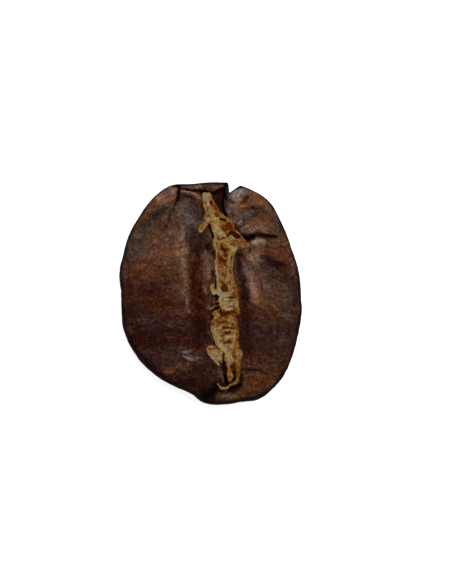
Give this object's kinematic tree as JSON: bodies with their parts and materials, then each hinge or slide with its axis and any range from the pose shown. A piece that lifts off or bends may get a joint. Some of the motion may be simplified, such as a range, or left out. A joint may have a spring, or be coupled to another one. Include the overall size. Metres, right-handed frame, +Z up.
{
  "type": "coffee bean",
  "caption": "Roasted arabica coffee bean with a flat face, a rounded back, a long centre cut filled with tan silverskin, and a small flat spot to rest on.",
  "frame": {"origin": "middle of the bean seen from above, on the surface that it rests on", "axes": "+Y along the bean towards the notched end of the centre cut, +Z up out of the flat face"},
  "size_m": [0.0086, 0.0106, 0.0051],
  "materials": {
    "bean": "satin, mottled dark roast brown",
    "silverskin": "dry, papery, crumpled"
  },
  "bodies": {
    "root": {"bean": "bean", "silverskin": "silverskin"}
  },
  "joints": []
}
